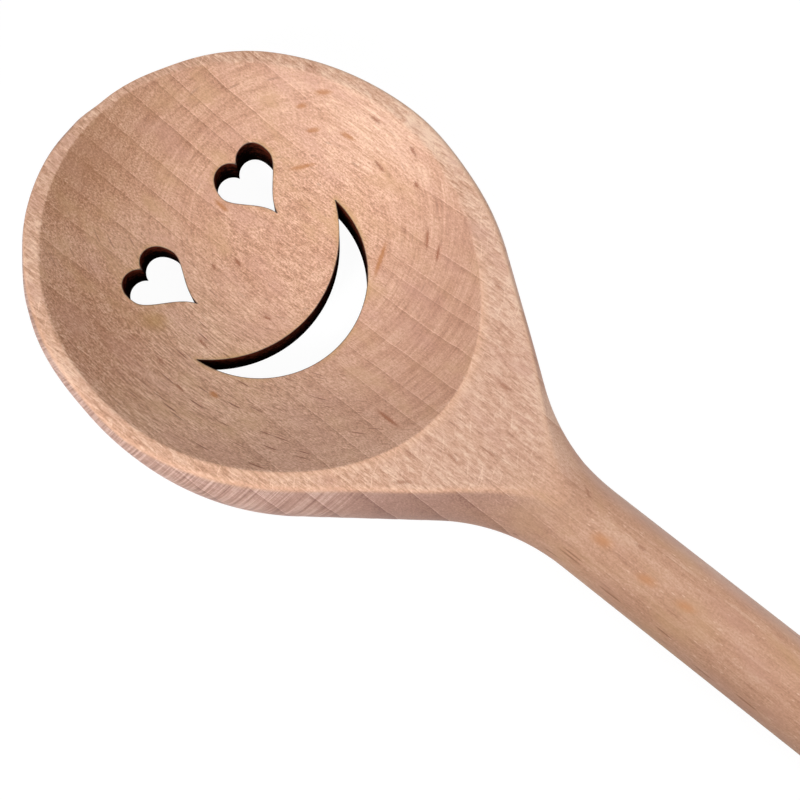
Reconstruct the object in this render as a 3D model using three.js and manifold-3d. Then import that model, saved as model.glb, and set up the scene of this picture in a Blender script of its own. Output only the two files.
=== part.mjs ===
// Cooking spoon made from one length of beech: a round handle that flares through a filleted neck into
// an oval head. The head is planed flat on top, hollowed to a shallow dish, and pierced by two hearts
// and a crescent that make a smiling face. Everything is one piece of wood, so there is one solid.
//
// Millimetres, +Z up. While it is being shaped, the wood lies with the tip of its nose at the origin and
// its handle along the X axis. The finished spoon is set down on the back of its head, with the origin
// under the middle of its length.

import * as THREE from 'three';
import { LoftGeometry } from 'three/addons/geometries/LoftGeometry.js';
import { mergeVertices } from 'three/addons/utils/BufferGeometryUtils.js';
import Module from 'manifold-3d';

// Outline, seen from above
const TOTAL_LENGTH = 300;
const HEAD_WIDTH = 64.2;
const NOSE_LENGTH = 36.6; // nose tip to the widest line of the head
const TAPER_ANGLE = THREE.MathUtils.degToRad(37); // each side of the taper, to the handle's axis
const NECK_FILLET = 29;

// Handle
const NECK_DIAMETER = 12.9;
const HANDLE_DIAMETER = 13.5; // where the domed end starts
const END_LENGTH = 5; // of the dome

// Head, side view
const FACE_CLEARANCE = 0.05; // planed face above the top of the neck, where it runs out
const SHOULDER_RISE = 2.25; // wood above the neck that the plane takes off the head
const SHOULDER_START = 6.4; // where it starts to rise, before the end of the neck fillet
const SHOULDER_LENGTH = 18; // over which it rises
const DISH_DEPTH = 10.2;
const FLOOR_THICKNESS = 5.2; // from the bottom of the dish to the lowest level of the back
const KEEL_SETBACK = 12; // lowest place of the back, behind the widest line
const NOSE_DEPTH = 3.6; // of the back's curve below the axis at the nose
const NOSE_CURVE = 1.5; // power by which the back rises from its lowest place to the nose

// Cross-sections are superellipses: power 2 is an ellipse, a higher power is squarer
const HANDLE_POWER = 2;
const WALL_POWER = 6.5; // head, above its widest level
const BACK_POWER = 2.2; // head, below it

// Rim round the dish, at the level of the planed face
const NOSE_RIM = 2.55; // ahead of the dish
const SIDE_RIM = 3.1; // beside it, from the widest level of the head
const DISH_AHEAD = 1.95; // middle of the dish, ahead of the widest line

// Hearts, each along its own axis from notch to tip
const HEART_LENGTH = 9;
const HEART_WIDTH = 9.6;
const HEART_WIDEST = 1.95; // notch to the widest place
const HEART_LOBE = 2; // pull of the lobes ahead of the notch
const HEART_PART = 0.93; // pull of the lobes away from each other at the notch
const HEART_CHEEK = 1.92; // pull of the cheeks towards the tip
const HEART_POINT = 2.97; // length over which the tip is drawn out
const HEART_FLICK = 0.61; // half-width at which it is drawn out
const HEART_SPACING = 21.2; // between the two notches
const HEART_FORWARD = 14.5; // notches ahead of the middle of the dish
const HEART_TILT = THREE.MathUtils.degToRad(9.3); // tips turned towards each other

// Smile, a crescent between two arcs
const SMILE_OUTER_RADIUS = 15.85;
const SMILE_INNER_RADIUS = 19.7;
const SMILE_THICKNESS = 6.5; // in its middle
const SMILE_SETBACK = 14.7; // middle of its outer arc, behind the middle of the dish

// Fineness of the facets
const RING_POINTS = 48;
const NOSE_STEPS = 13;
const CHEEK_STEPS = 6;
const TAPER_STEPS = 4;
const FILLET_STEPS = 9;
const HANDLE_STEPS = 4;
const END_STEPS = 6;
const DISH_SEGMENTS = 64;
const DISH_RINGS = 10;
const HEART_STEPS = 7;
const SMILE_STEPS = 12;

const CUT_MARGIN = 3; // cutters stand this far clear of the wood
const NECK_RADIUS = NECK_DIAMETER / 2;
const HALF_WIDTH = HEAD_WIDTH / 2;
const FACE_HEIGHT = NECK_RADIUS + FACE_CLEARANCE; // planed face above the handle's axis
const KEEL_DEPTH = DISH_DEPTH + FLOOR_THICKNESS - FACE_HEIGHT; // lowest level below the axis
const DISH_CENTRE = NOSE_LENGTH - DISH_AHEAD;

const wasm = await Module();
wasm.setup();

// Closed solid of a three.js geometry, without the empty triangles at its poles.
function solidOf(geometry) {
  const bare = new THREE.BufferGeometry();
  bare.setAttribute('position', geometry.attributes.position);
  bare.setIndex(geometry.index);
  const merged = mergeVertices(bare);
  const corners = merged.index.array;
  const kept = [];
  for (let i = 0; i < corners.length; i += 3) {
    const [a, b, c] = corners.slice(i, i + 3);
    if (a !== b && b !== c && c !== a) kept.push(a, b, c);
  }
  const vertProperties = new Float32Array(merged.attributes.position.array);
  const triVerts = new Uint32Array(kept);
  return new wasm.Manifold(new wasm.Mesh({ numProp: 3, vertProperties, triVerts }));
}

function geometryOf(solid) {
  const mesh = solid.getMesh();
  const geometry = new THREE.BufferGeometry();
  geometry.setAttribute('position', new THREE.BufferAttribute(mesh.vertProperties, 3));
  geometry.setIndex(new THREE.BufferAttribute(mesh.triVerts, 1));
  geometry.computeVertexNormals();
  return geometry;
}

// Outline of one side, from the nose to the end of the handle. The straight taper leaves the oval nose
// at a tangent, and the hollow fillet leads it into the handle.
const tangentAngle = Math.atan2(HALF_WIDTH, NOSE_LENGTH * Math.tan(TAPER_ANGLE));
const taperFrom = new THREE.Vector2(
  NOSE_LENGTH + NOSE_LENGTH * Math.cos(tangentAngle),
  HALF_WIDTH * Math.sin(tangentAngle),
);
const taperEnd = NECK_RADIUS + NECK_FILLET * (1 - Math.cos(TAPER_ANGLE));
const taperLength = (taperFrom.y - taperEnd) / Math.tan(TAPER_ANGLE);
const taperTo = new THREE.Vector2(taperFrom.x + taperLength, taperEnd);
const neck = new THREE.Vector2(taperTo.x + NECK_FILLET * Math.sin(TAPER_ANGLE), NECK_RADIUS);
const handleEnd = new THREE.Vector2(TOTAL_LENGTH - END_LENGTH, HANDLE_DIAMETER / 2);

const quarter = Math.PI / 2;
const filletFrom = -quarter - TAPER_ANGLE;
const filletY = NECK_RADIUS + NECK_FILLET;
const nose = new THREE.EllipseCurve(NOSE_LENGTH, 0, NOSE_LENGTH, HALF_WIDTH, Math.PI, quarter, true);
const cheek = new THREE.EllipseCurve(NOSE_LENGTH, 0, NOSE_LENGTH, HALF_WIDTH, quarter, tangentAngle, true);
const taper = new THREE.LineCurve(taperFrom, taperTo);
const fillet = new THREE.EllipseCurve(neck.x, filletY, NECK_FILLET, NECK_FILLET, filletFrom, -quarter);
const handle = new THREE.LineCurve(neck, handleEnd);
const end = new THREE.EllipseCurve(handleEnd.x, 0, END_LENGTH, handleEnd.y, quarter, 0, true);

const stations = [
  ...nose.getPoints(NOSE_STEPS),
  ...cheek.getPoints(CHEEK_STEPS).slice(1),
  ...taper.getPoints(TAPER_STEPS).slice(1),
  ...fillet.getPoints(FILLET_STEPS).slice(1),
  ...handle.getPoints(HANDLE_STEPS).slice(1),
  ...end.getPoints(END_STEPS).slice(1),
];

// How far the nose has closed in at x: 1 from the widest line back, 0 at the tip.
function closing(x, power) {
  const ahead = Math.min(1, Math.max(0, 1 - x / NOSE_LENGTH));
  return (1 - ahead ** power) ** (1 / power);
}

// Cross-section at one station. Above the axis it swells into a square shoulder that the plane cuts
// down; below it, it swells to the keel and thins again towards the nose.
const shoulderX = neck.x - SHOULDER_START;
const keelX = NOSE_LENGTH + KEEL_SETBACK;

function section({ x, y: halfWidth }) {
  const { lerp, smoothstep, clamp } = THREE.MathUtils;
  const spread = clamp((shoulderX - x) / (shoulderX - NOSE_LENGTH), 0, 1);
  const topPower = lerp(HANDLE_POWER, WALL_POWER, spread ** 2);
  const backPower = lerp(HANDLE_POWER, BACK_POWER, spread);
  const radius = x < neck.x ? NECK_RADIUS : halfWidth;
  const shoulder = SHOULDER_RISE * smoothstep(shoulderX - x, 0, SHOULDER_LENGTH);
  const forward = clamp((keelX - x) / keelX, 0, 1);
  const swell = smoothstep(neck.x - x, 0, neck.x - keelX);
  const keel = lerp(KEEL_DEPTH, NOSE_DEPTH, forward ** NOSE_CURVE);
  const top = (radius + shoulder) * closing(x, topPower);
  const back = lerp(radius, keel, swell) * closing(x, backPower);

  const ring = [];
  for (let i = 0; i < RING_POINTS; i += 1) {
    const angle = (i / RING_POINTS) * 2 * Math.PI;
    const above = i < RING_POINTS / 2;
    const reach = 2 / (above ? topPower : backPower);
    const across = Math.sign(Math.cos(angle)) * Math.abs(Math.cos(angle)) ** reach;
    const up = Math.abs(Math.sin(angle)) ** reach;
    ring.push(new THREE.Vector3(x, halfWidth * across, above ? top * up : -back * up));
  }
  return ring;
}

const blank = solidOf(new LoftGeometry(stations.map(section), { closed: true }));

// Planed face: everything above it comes off the head. It runs out on the neck.
const planeHeight = SHOULDER_RISE + CUT_MARGIN;
const planing = new THREE.BoxGeometry(neck.x + CUT_MARGIN, HEAD_WIDTH + 2 * CUT_MARGIN, planeHeight);
planing.translate((neck.x - CUT_MARGIN) / 2, 0, FACE_HEIGHT + planeHeight / 2);

// Dish: a spherical cap across the head, drawn out along it to an oval.
const dishAcross = HALF_WIDTH - SIDE_RIM;
const dishAlong = DISH_CENTRE - NOSE_RIM;
const dishRadius = (dishAcross ** 2 + DISH_DEPTH ** 2) / (2 * DISH_DEPTH);
const dishY = dishRadius - DISH_DEPTH;
const dishTo = Math.asin(dishAcross / dishRadius) - quarter;
const dishArc = new THREE.EllipseCurve(0, dishY, dishRadius, dishRadius, -quarter, dishTo);
const dishProfile = [
  ...dishArc.getPoints(DISH_RINGS),
  new THREE.Vector2(dishAcross, CUT_MARGIN),
  new THREE.Vector2(0, CUT_MARGIN),
];
const dish = new THREE.LatheGeometry(dishProfile, DISH_SEGMENTS);
dish.rotateX(quarter);
dish.scale(dishAlong / dishAcross, 1, 1);
dish.translate(DISH_CENTRE, 0, FACE_HEIGHT);

// Cutter that goes right through the head.
function through(shape, curveSegments) {
  const depth = KEEL_DEPTH + FACE_HEIGHT + 2 * CUT_MARGIN;
  const cutter = new THREE.ExtrudeGeometry(shape, { depth, bevelEnabled: false, curveSegments });
  return cutter.translate(0, 0, -KEEL_DEPTH - CUT_MARGIN);
}

// Heart, with its notch at the origin and its tip towards +X.
function heartShape() {
  const half = HEART_WIDTH / 2;
  const cheek = HEART_WIDEST + HEART_CHEEK;
  const point = HEART_LENGTH - HEART_POINT;
  return new THREE.Shape()
    .moveTo(0, 0)
    .bezierCurveTo(-HEART_LOBE, -HEART_PART, -HEART_LOBE, -half, HEART_WIDEST, -half)
    .bezierCurveTo(cheek, -half, point, -HEART_FLICK, HEART_LENGTH, 0)
    .bezierCurveTo(point, HEART_FLICK, cheek, half, HEART_WIDEST, half)
    .bezierCurveTo(-HEART_LOBE, half, -HEART_LOBE, HEART_PART, 0, 0);
}

function heart(side) {
  const cutter = through(heartShape(), HEART_STEPS);
  cutter.rotateZ(-side * HEART_TILT);
  return cutter.translate(DISH_CENTRE - HEART_FORWARD, side * HEART_SPACING / 2, 0);
}

// Smile: the two arcs meet in the corners of the mouth.
function smile() {
  const outerX = DISH_CENTRE + SMILE_SETBACK - SMILE_OUTER_RADIUS;
  const innerX = DISH_CENTRE + SMILE_SETBACK - SMILE_THICKNESS - SMILE_INNER_RADIUS;
  const apart = outerX - innerX;
  const ahead = (SMILE_INNER_RADIUS ** 2 - SMILE_OUTER_RADIUS ** 2 - apart ** 2) / (2 * apart);
  const outerAngle = Math.acos(ahead / SMILE_OUTER_RADIUS);
  const innerAngle = Math.acos((ahead + apart) / SMILE_INNER_RADIUS);
  const shape = new THREE.Shape()
    .absarc(outerX, 0, SMILE_OUTER_RADIUS, -outerAngle, outerAngle, false)
    .absarc(innerX, 0, SMILE_INNER_RADIUS, innerAngle, -innerAngle, true);
  return through(shape, SMILE_STEPS);
}

const cuts = [planing, dish, heart(1), heart(-1), smile()];
const wood = cuts.reduce((solid, cut) => solid.subtract(solidOf(cut)), blank);

const beech = new THREE.MeshStandardMaterial({ color: 0xd3a488, roughness: 0.65 });
const spoon = new THREE.Mesh(geometryOf(wood), beech);
spoon.name = 'spoon';
spoon.position.set(-TOTAL_LENGTH / 2, 0, KEEL_DEPTH);

const part = new THREE.Group();
part.name = 'wooden_cooking_spoon';
part.add(spoon);

export default part;
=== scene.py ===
"""Cooking spoon carved from one length of beech, with a smiling face cut through its bowl.

The shape is drawn in millimetres, with the tip of the nose at the origin and the handle along X. The
finished mesh is set into the frame, in metres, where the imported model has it.
"""
import math

import bpy
import numpy as np
from mathutils import Matrix, Vector
from mathutils.geometry import delaunay_2d_cdt
from mathutils.kdtree import KDTree


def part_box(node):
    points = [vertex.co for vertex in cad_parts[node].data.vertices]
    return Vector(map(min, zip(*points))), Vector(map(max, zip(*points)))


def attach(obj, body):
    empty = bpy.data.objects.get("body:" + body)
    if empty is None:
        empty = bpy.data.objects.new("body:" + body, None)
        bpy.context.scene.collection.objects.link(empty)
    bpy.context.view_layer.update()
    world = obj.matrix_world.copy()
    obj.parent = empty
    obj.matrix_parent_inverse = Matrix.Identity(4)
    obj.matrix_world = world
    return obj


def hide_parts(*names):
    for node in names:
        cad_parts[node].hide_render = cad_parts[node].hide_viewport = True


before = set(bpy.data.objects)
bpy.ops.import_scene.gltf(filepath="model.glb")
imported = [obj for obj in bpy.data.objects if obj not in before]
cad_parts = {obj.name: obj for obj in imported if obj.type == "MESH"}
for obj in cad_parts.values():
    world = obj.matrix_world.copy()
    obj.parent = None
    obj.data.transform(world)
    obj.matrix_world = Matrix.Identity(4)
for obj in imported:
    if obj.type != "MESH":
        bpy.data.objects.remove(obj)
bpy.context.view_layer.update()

# View: a camera close above the bowl, looking down on the face from the side of its mouth's right
# corner. It is rolled a little, and the handle leaves the picture at the lower right.
MM = 0.001
VIEW_TARGET = Vector((-87.9, -3.4, 15.4)) * MM
VIEW_DISTANCE = 147 * MM
VIEW_AZIMUTH = math.radians(-64.1)  # round the target, from +X
VIEW_ELEVATION = math.radians(78.2)
VIEW_ROLL = math.radians(12.8)
VIEW_LENS = 48.2  # focal length on the 36 mm sensor
VIEW_CLIP = 10 * MM

level = math.cos(VIEW_ELEVATION)
away = Vector((level * math.cos(VIEW_AZIMUTH), level * math.sin(VIEW_AZIMUTH), math.sin(VIEW_ELEVATION)))
view_turn = away.to_track_quat("Z", "Y").to_matrix() @ Matrix.Rotation(VIEW_ROLL, 3, "Z")
camera = bpy.data.objects.new("camera", bpy.data.cameras.new("camera"))
camera.data.lens = VIEW_LENS
camera.data.clip_start = VIEW_CLIP
camera.matrix_world = Matrix.Translation(VIEW_TARGET + away * VIEW_DISTANCE) @ view_turn.to_4x4()
bpy.context.collection.objects.link(camera)
bpy.context.scene.camera = camera

# Blank: one length of beech with a round handle that flares through a hollow neck into an oval head.
# Its cross-sections are superellipses: round on the handle, square above the widest level of the head
# and nearly oval below it. Sanding left its two sides a little unlike.
low, high = (Vector(corner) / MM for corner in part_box("spoon"))
LENGTH = high.x - low.x
HALF_WIDTH = (high.y - low.y) / 2
NOSE_LENGTH = 36.6  # nose tip to the widest line of the head
TAPER_ANGLE = math.radians(37)  # each side of the flare, to the handle's axis
NECK_FILLET = 29
NECK_RADIUS = 6.45
HANDLE_RADIUS = 6.75  # where the domed end starts
DOME_LENGTH = 5
SHOULDER_RISE = 2.25  # wood above the neck that the plane takes off the head
SHOULDER_START = 6.4  # where it starts to rise, before the end of the neck fillet
SHOULDER_LENGTH = 18
KEEL_SETBACK = 12  # lowest place of the back, behind the widest line
NOSE_DEPTH = 3.6
NOSE_CURVE = 1.5  # power by which the back rises to the nose
HANDLE_POWER = 2
LEFT_POWER = 6.5
RIGHT_POWER = 5.6
POWER_BLEND = 12  # half-width of the change between the two, over the spine
BACK_POWER = 2.2
LEFT_SQUARING = 0.9  # power by which the sections of the flare grow square, on its left side
RIGHT_SQUARING = 2  # and on its right side
NOSE_LEAN = -0.8  # of the nose, across the head
LEAN_FROM = 14.6  # distance from the tip at which the lean starts
LEAN_TO = 3.7  # and at which it is full
FLARE_TRIM = 0.5  # wood sanded off the left side of the flare
FLARE_START = (38, 50)  # distances from the tip between which the trim starts
FLARE_END = (78, 95)  # and ends
BULGE = 0.8  # wood left on the right side of the nose
BULGE_START = (7, 13)
BULGE_END = (15, 30)
SIDE_POWER = 12  # power by which both grow towards the side
NOSE_CUT = 0.65  # wood sanded off the left side of the nose
NOSE_CUT_START = (0, 5)  # distances across between which the cut starts
NOSE_CUT_END = (13, 22)  # and ends
NOSE_CUT_DEPTH = (0.3, 2.6)  # distances behind the outline between which it fades out
TINY = 1e-9

AXIS_HEIGHT = high.z - HANDLE_RADIUS
KEEL_DEPTH = AXIS_HEIGHT - low.z
tangent = math.atan2(HALF_WIDTH, NOSE_LENGTH * math.tan(TAPER_ANGLE))
taper_x = NOSE_LENGTH * (1 + math.cos(tangent))
taper_y = HALF_WIDTH * math.sin(tangent)
fillet_y = NECK_RADIUS + NECK_FILLET * (1 - math.cos(TAPER_ANGLE))
fillet_x = taper_x + (taper_y - fillet_y) / math.tan(TAPER_ANGLE)
neck_x = fillet_x + NECK_FILLET * math.sin(TAPER_ANGLE)
shoulder_x = neck_x - SHOULDER_START
keel_x = NOSE_LENGTH + KEEL_SETBACK
dome_x = LENGTH - DOME_LENGTH


def root(value):
    return np.sqrt(np.clip(value, 0, None))


def ease(value, start, end):
    """0 before start, 1 after end, and smooth between them."""
    t = np.clip((value - start) / (end - start), 0, 1)
    return t * t * (3 - 2 * t)


def outline(x):
    """Half the width of the spoon: oval head, straight taper, hollow neck, handle and domed end."""
    oval = HALF_WIDTH * root(1 - (x / NOSE_LENGTH - 1) ** 2)
    taper = taper_y - (x - taper_x) * math.tan(TAPER_ANGLE)
    hollow = NECK_RADIUS + NECK_FILLET - root(NECK_FILLET**2 - (neck_x - x) ** 2)
    handle = NECK_RADIUS + (HANDLE_RADIUS - NECK_RADIUS) * (x - neck_x) / (dome_x - neck_x)
    dome = HANDLE_RADIUS * root(1 - ((x - dome_x) / DOME_LENGTH) ** 2)
    places = [x < taper_x, x < fillet_x, x < neck_x, x < dome_x]
    return np.select(places, [oval, taper, hollow, handle], dome)


def lean(x):
    return NOSE_LEAN * ease(LEAN_FROM - x, 0, LEAN_FROM - LEAN_TO)


def side_shift(x, y):
    """Shift across of the left side of the flare and of the right side of the nose."""
    reach = np.clip(np.abs(y) / np.maximum(outline(x), TINY), 0, 1)
    flare = FLARE_TRIM * (y > 0) * ease(x, *FLARE_START) * (1 - ease(x, *FLARE_END))
    bulge = BULGE * (y < 0) * ease(x, *BULGE_START) * (1 - ease(x, *BULGE_END))
    return -(flare + bulge) * reach**SIDE_POWER


def nose_shift(x, y):
    """Shift along of the left side of the nose."""
    behind = x - NOSE_LENGTH * (1 - root(1 - (y / HALF_WIDTH) ** 2))
    part = ease(y, *NOSE_CUT_START) * (1 - ease(y, *NOSE_CUT_END))
    return NOSE_CUT * part * (1 - ease(behind, *NOSE_CUT_DEPTH))


def closing(x, power):
    """1 from the widest line back, falling to 0 at the tip of the nose."""
    ahead = np.clip(1 - x / NOSE_LENGTH, 0, 1)
    return (1 - ahead**power) ** (1 / power)


def superellipse(x, y, height, power):
    across = np.clip(np.abs(y) / np.maximum(outline(x), TINY), 0, 1)
    return height * (1 - across**power) ** (1 / power)


def blank_top(x, y):
    """Height of the blank above the handle's axis."""
    spread = np.clip((shoulder_x - x) / (shoulder_x - NOSE_LENGTH), 0, 1)
    squaring = np.where(y > 0, LEFT_SQUARING, RIGHT_SQUARING)
    wall_power = RIGHT_POWER + (LEFT_POWER - RIGHT_POWER) * ease(y, -POWER_BLEND, POWER_BLEND)
    power = HANDLE_POWER + (wall_power - HANDLE_POWER) * spread**squaring
    radius = np.where(x < neck_x, NECK_RADIUS, outline(x))
    shoulder = SHOULDER_RISE * ease(shoulder_x - x, 0, SHOULDER_LENGTH)
    return superellipse(x, y, (radius + shoulder) * closing(x, power), power)


def blank_back(x, y):
    """Depth of the blank below the handle's axis."""
    spread = np.clip((shoulder_x - x) / (shoulder_x - NOSE_LENGTH), 0, 1)
    power = HANDLE_POWER + (BACK_POWER - HANDLE_POWER) * spread
    radius = np.where(x < neck_x, NECK_RADIUS, outline(x))
    forward = np.clip((keel_x - x) / keel_x, 0, 1)
    keel = KEEL_DEPTH + (NOSE_DEPTH - KEEL_DEPTH) * forward**NOSE_CURVE
    swell = ease(neck_x - x, 0, neck_x - keel_x)
    return superellipse(x, y, (radius + (keel - radius) * swell) * closing(x, power), power)


# Face and dish: the top of the head is planed flat from the rim to the neck, where the plane runs out.
# A round cutter then hollows the dish, which ends in a crease that is a little pointed at the handle.
# Sandpaper has softened both edges of the rim.
FACE_CLEARANCE = 0.05  # planed face above the top of the neck
RUN_OUT = 3  # lift of the plane over the neck
EDGE_SOFT = 0.35
CREASE_SOFT = 0.2
DISH_DEPTH = 10.2
DISH_AHEAD = 1.95  # middle of the dish, ahead of the widest line
NOSE_RIM = 2.55
SIDE_RIM = 3.1
CREASE_POINT = 0.75  # of the crease, towards the handle
CREASE_WAVES = 3

FACE_HEIGHT = NECK_RADIUS + FACE_CLEARANCE
dish_x = NOSE_LENGTH - DISH_AHEAD
dish_along = dish_x - NOSE_RIM
dish_across = HALF_WIDTH - SIDE_RIM
dish_radius = (dish_across**2 + DISH_DEPTH**2) / (2 * DISH_DEPTH)


def soft_min(a, b, soft):
    """Lower of two surfaces, rounded where they meet."""
    return np.minimum(a, b) - np.clip(soft - np.abs(a - b), 0, None) ** 2 / (4 * soft)


def crease_reach(angle):
    """Size of the crease's oval in each direction, as a share of the plain oval."""
    point = CREASE_POINT * np.cos(CREASE_WAVES * angle) * np.clip(np.cos(angle), 0, None)
    return 1 + point / dish_across


def from_crease(x, y):
    """Distance outside the crease, negative in the dish, measured across the head."""
    along = (x - dish_x) * dish_across / dish_along
    return np.hypot(along, y) / crease_reach(np.arctan2(y, along)) - dish_across


def dish_top(x, y):
    reach = np.clip(from_crease(x, y) + dish_across, 0, dish_radius)
    return FACE_HEIGHT + dish_radius - DISH_DEPTH - np.sqrt(dish_radius**2 - reach**2)


def plane_top(x):
    return FACE_HEIGHT + RUN_OUT * ease(x, shoulder_x, neck_x)


def finished_top(x, y):
    """Height of the finished wood above the handle's axis."""
    face = soft_min(blank_top(x, y), plane_top(x), EDGE_SOFT)
    return soft_min(face, dish_top(x, y + lean(x)), CREASE_SOFT)


# Hearts and smile: a laser cut them straight down through the dish. Each heart is two pairs of curves
# between its notch and its tip, and the smile lies between two arcs that meet in its corners.
CUT_STEP = 0.32  # between the points of a cut
CURVE_POINTS = 80  # of each curve before it is laid out in even steps
ARC_POINTS = 160
HEART_LENGTH = 9
HEART_HALF = 4.8
HEART_WIDEST = 1.95  # notch to the widest place
HEART_LOBE = 2  # pull of the lobe's curve, ahead of the notch
HEART_PART = 0.93  # how far apart the two lobes leave the notch, on each side
HEART_CHEEK = 1.92  # pull of the lower curve, behind the widest place
HEART_POINT = 2.97  # its pull ahead of the tip
HEART_FLICK = 0.61  # and to each side of the tip
HEART_SPACING = 21.2
HEART_FORWARD = 14.5  # notches ahead of the middle of the dish
HEART_TILT = math.radians(9.3)
SMILE_OUTER = 15.85  # radius of the outer arc
SMILE_INNER = 19.7
SMILE_THICKNESS = 6.5
SMILE_SETBACK = 14.7  # middle of the outer arc, behind the middle of the dish


def even_steps(points, step):
    """The same line with points at even distances, without its last one."""
    lengths = np.linalg.norm(np.diff(points, axis=0), axis=1)
    at = np.concatenate([[0], np.cumsum(lengths)])
    to = np.linspace(0, at[-1], max(2, round(at[-1] / step)) + 1)[:-1]
    return np.stack([np.interp(to, at, points[:, 0]), np.interp(to, at, points[:, 1])], 1)


def bezier(*controls):
    a, b, c, d = (np.array(control) for control in controls)
    t = np.linspace(0, 1, CURVE_POINTS)[:, None]
    return a * (1 - t) ** 3 + 3 * b * t * (1 - t) ** 2 + 3 * c * t**2 * (1 - t) + d * t**3


def heart(side):
    cheek = HEART_WIDEST + HEART_CHEEK
    point = HEART_LENGTH - HEART_POINT
    notch, tip, widest = (0, 0), (HEART_LENGTH, 0), (HEART_WIDEST, -HEART_HALF)
    lobe = bezier(notch, (-HEART_LOBE, -HEART_PART), (-HEART_LOBE, -HEART_HALF), widest)
    flank = bezier(widest, (cheek, -HEART_HALF), (point, -HEART_FLICK), tip)
    half = np.concatenate([even_steps(lobe, CUT_STEP), even_steps(flank, CUT_STEP)])
    other = np.concatenate([[tip], half[:0:-1] * (1, -1)])
    ring = np.concatenate([half, other])
    tilt = -side * HEART_TILT
    turned = ring @ np.array([[math.cos(tilt), math.sin(tilt)], [-math.sin(tilt), math.cos(tilt)]])
    return turned + (dish_x - HEART_FORWARD, side * HEART_SPACING / 2)


def arc(x, radius, start, end):
    angles = np.linspace(start, end, ARC_POINTS)
    return np.stack([x + radius * np.cos(angles), radius * np.sin(angles)], 1)


def smile():
    outer_x = dish_x + SMILE_SETBACK - SMILE_OUTER
    inner_x = dish_x + SMILE_SETBACK - SMILE_THICKNESS - SMILE_INNER
    apart = outer_x - inner_x
    ahead = (SMILE_INNER**2 - SMILE_OUTER**2 - apart**2) / (2 * apart)
    outer_turn = math.acos(ahead / SMILE_OUTER)
    inner_turn = math.acos((ahead + apart) / SMILE_INNER)
    outer = even_steps(arc(outer_x, SMILE_OUTER, -outer_turn, outer_turn), CUT_STEP)
    inner = even_steps(arc(inner_x, SMILE_INNER, inner_turn, -inner_turn), CUT_STEP)
    return np.concatenate([outer, inner])


cuts = [heart(1), heart(-1), smile()]

# Skin of the wood: one closed mesh of a top sheet, a back sheet and the walls of the cuts. Each sheet
# is triangulated laid flat, with its steep sides unrolled outwards from the spoon's spine, so that its
# triangles are even all over.
TOP_STEP = 0.42
BACK_STEP = 0.7
HANDLE_STRETCH = 3  # of the steps along the handle
OUTLINE_STEP = 0.5
CREASE_ROWS = (-0.7, -0.35, -0.12, 0.12, 0.35, 0.7)  # rows of points along the crease
EDGE_ROWS = (-0.55, -0.2, 0, 0.15)  # and along the edge of the planed face
EDGE_END = 1.2  # distance from the spine at which the rows along the edge end
WALL_ROWS = 8
HALVINGS = 30
ROOM = 0.55  # least distance of a loose point from a row, in steps


def rays(x, y):
    """Foot on the spine, direction from it and distance of points in the plan."""
    foot = np.clip(x, NOSE_LENGTH, dome_x)
    run = np.stack([x - foot, y], 1)
    distance = np.maximum(np.linalg.norm(run, axis=1), TINY)
    return foot, run / distance[:, None], distance


def edge_along(foot, direction):
    """Distance from the spine to the outline."""
    length = np.where(foot > NOSE_LENGTH, DOME_LENGTH, NOSE_LENGTH)
    return 1 / np.hypot(direction[:, 0] / length, direction[:, 1] / outline(foot))


def lay_flat(plan, height):
    foot, direction, distance = rays(*plan.T)
    out = distance + height(foot, 0 * foot) - height(*plan.T)
    return np.stack([foot, 0 * foot], 1) + direction * out[:, None]


def fold(flat, height, margin):
    """Plan of the points of a flat sheet that lie inside its edge."""
    foot, direction, distance = rays(*flat.T)
    far = edge_along(foot, direction)
    crest = height(foot, 0 * foot)
    inside = distance < far + crest - margin
    near = 0 * far
    for _ in range(HALVINGS):
        middle = (near + far) / 2
        x = foot + direction[:, 0] * middle
        short = middle + crest - height(x, direction[:, 1] * middle) < distance
        near = np.where(short, middle, near)
        far = np.where(short, far, middle)
    plan = np.stack([foot + direction[:, 0] * near, direction[:, 1] * near], 1)
    return plan[inside]


def loose_points(step):
    """Staggered grid that covers a sheet laid flat."""
    stagger = step * math.sqrt(3) / 2
    reach = HALF_WIDTH + NECK_RADIUS + SHOULDER_RISE + KEEL_DEPTH
    head = np.arange(-reach, neck_x, stagger)
    shaft = np.arange(neck_x, LENGTH + 2 * HANDLE_RADIUS, stagger * HANDLE_STRETCH)
    columns = np.concatenate([head, shaft])
    rows = np.arange(-reach, reach, step)
    odd = np.arange(len(columns)) % 2
    x = np.repeat(columns, len(rows))
    y = np.tile(rows, len(columns)) + np.repeat(odd, len(rows)) * step / 2
    return np.stack([x, y], 1)


def outline_ring():
    """Widest line of the spoon, anticlockwise from the head's left."""
    quarter = math.pi / 2
    round_nose = np.linspace(quarter, 3 * quarter, round(math.pi * NOSE_LENGTH / OUTLINE_STEP))
    round_dome = np.linspace(-quarter, quarter, round(math.pi * HANDLE_RADIUS / OUTLINE_STEP))
    side = np.concatenate([
        np.arange(NOSE_LENGTH, neck_x, OUTLINE_STEP)[1:],
        np.arange(neck_x, dome_x, OUTLINE_STEP * HANDLE_STRETCH),
    ])
    ring = []
    for foot, angles in ((NOSE_LENGTH, round_nose), (dome_x, round_dome)):
        direction = np.stack([np.cos(angles), np.sin(angles)], 1)
        reach = edge_along(np.full(len(angles), foot), direction)
        ring.append(direction * reach[:, None] + (foot, 0))
    right = np.stack([side, -outline(side)], 1)
    left = np.stack([side, outline(side)], 1)[::-1]
    return np.concatenate([ring[0], right, ring[1], left])


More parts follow.
